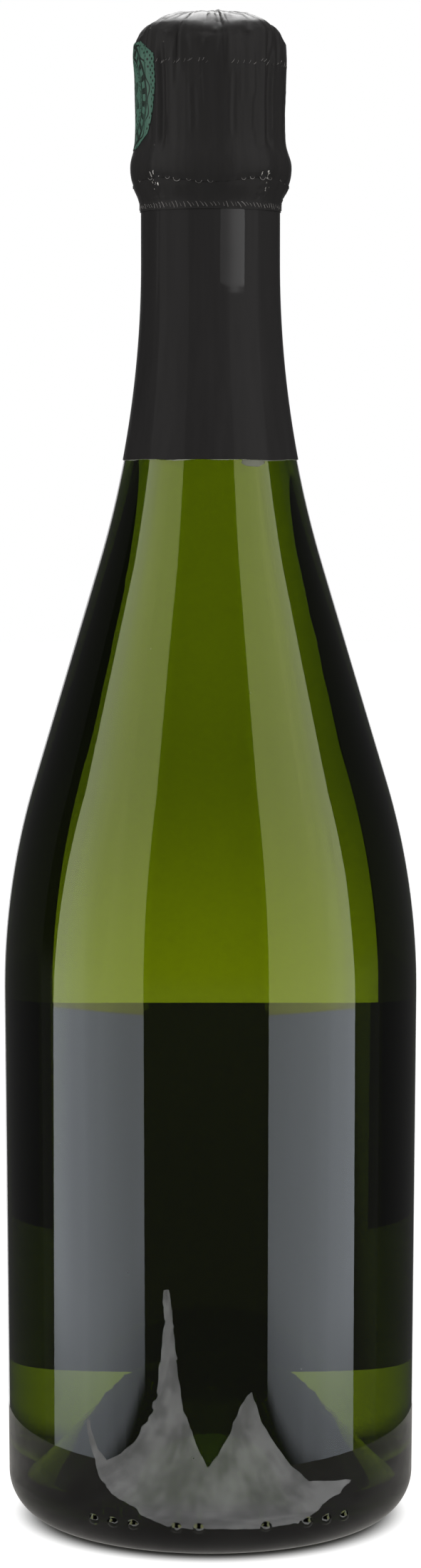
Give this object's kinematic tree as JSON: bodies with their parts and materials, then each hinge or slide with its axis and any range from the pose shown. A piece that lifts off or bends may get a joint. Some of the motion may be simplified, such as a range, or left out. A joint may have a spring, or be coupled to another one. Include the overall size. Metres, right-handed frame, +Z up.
{
  "type": "sparkling wine bottle",
  "caption": "Full sparkling wine bottle with a mushroom cork under a wire cage and a foil hood with a tear strip, a deep punt and a plain label.",
  "frame": {"origin": "Centre of the base, on the plane that the bottle stands on", "axes": "+Z up along the bottle's axis, +Y towards the front label, -Y the bare back that the picture shows"},
  "size_m": [0.0884, 0.0886, 0.3184],
  "materials": {
    "green_glass": "polished",
    "label_paper": "matte",
    "foil": "satin",
    "seal_paper": "matte",
    "steel_wire": "satin",
    "tinplate": "satin",
    "cork": "matte"
  },
  "bodies": {
    "bottle": {"bottle_glass": "green_glass", "front_label": "label_paper", "neck_foil": "foil", "tear_strip": "foil"},
    "cork": {"cork_body": "cork", "cork_disc_upper": "cork", "cork_disc_lower": "cork"},
    "cage": {"cage_frame": "steel_wire", "leg_eyes": "steel_wire", "belt_wire": "steel_wire", "cap_plate": "tinplate"},
    "hood": {"foil_hood": "foil", "seal_patch": "seal_paper"},
    "tab": {"tear_tab": "foil"}
  },
  "joints": [
    {"name": "cork_pull", "type": "slide", "parent": "bottle", "child": "cork", "axis": [0, 0, 1], "range_m": [0, 0.03]},
    {"name": "cage_lift", "type": "slide", "parent": "cork", "child": "cage", "axis": [0, 0, 1], "range_m": [0, 0.04], "deforming": ["belt_wire", "leg_eyes"]},
    {"name": "hood_lift", "type": "slide", "parent": "cage", "child": "hood", "axis": [0, 0, 1], "range_m": [0, 0.04]},
    {"name": "tear_tab_lift", "type": "hinge", "parent": "bottle", "child": "tab", "pos_m": [0.00909, 0.01454, 0.282], "axis": [0, 0, -1], "range_deg": [0, 110]}
  ]
}
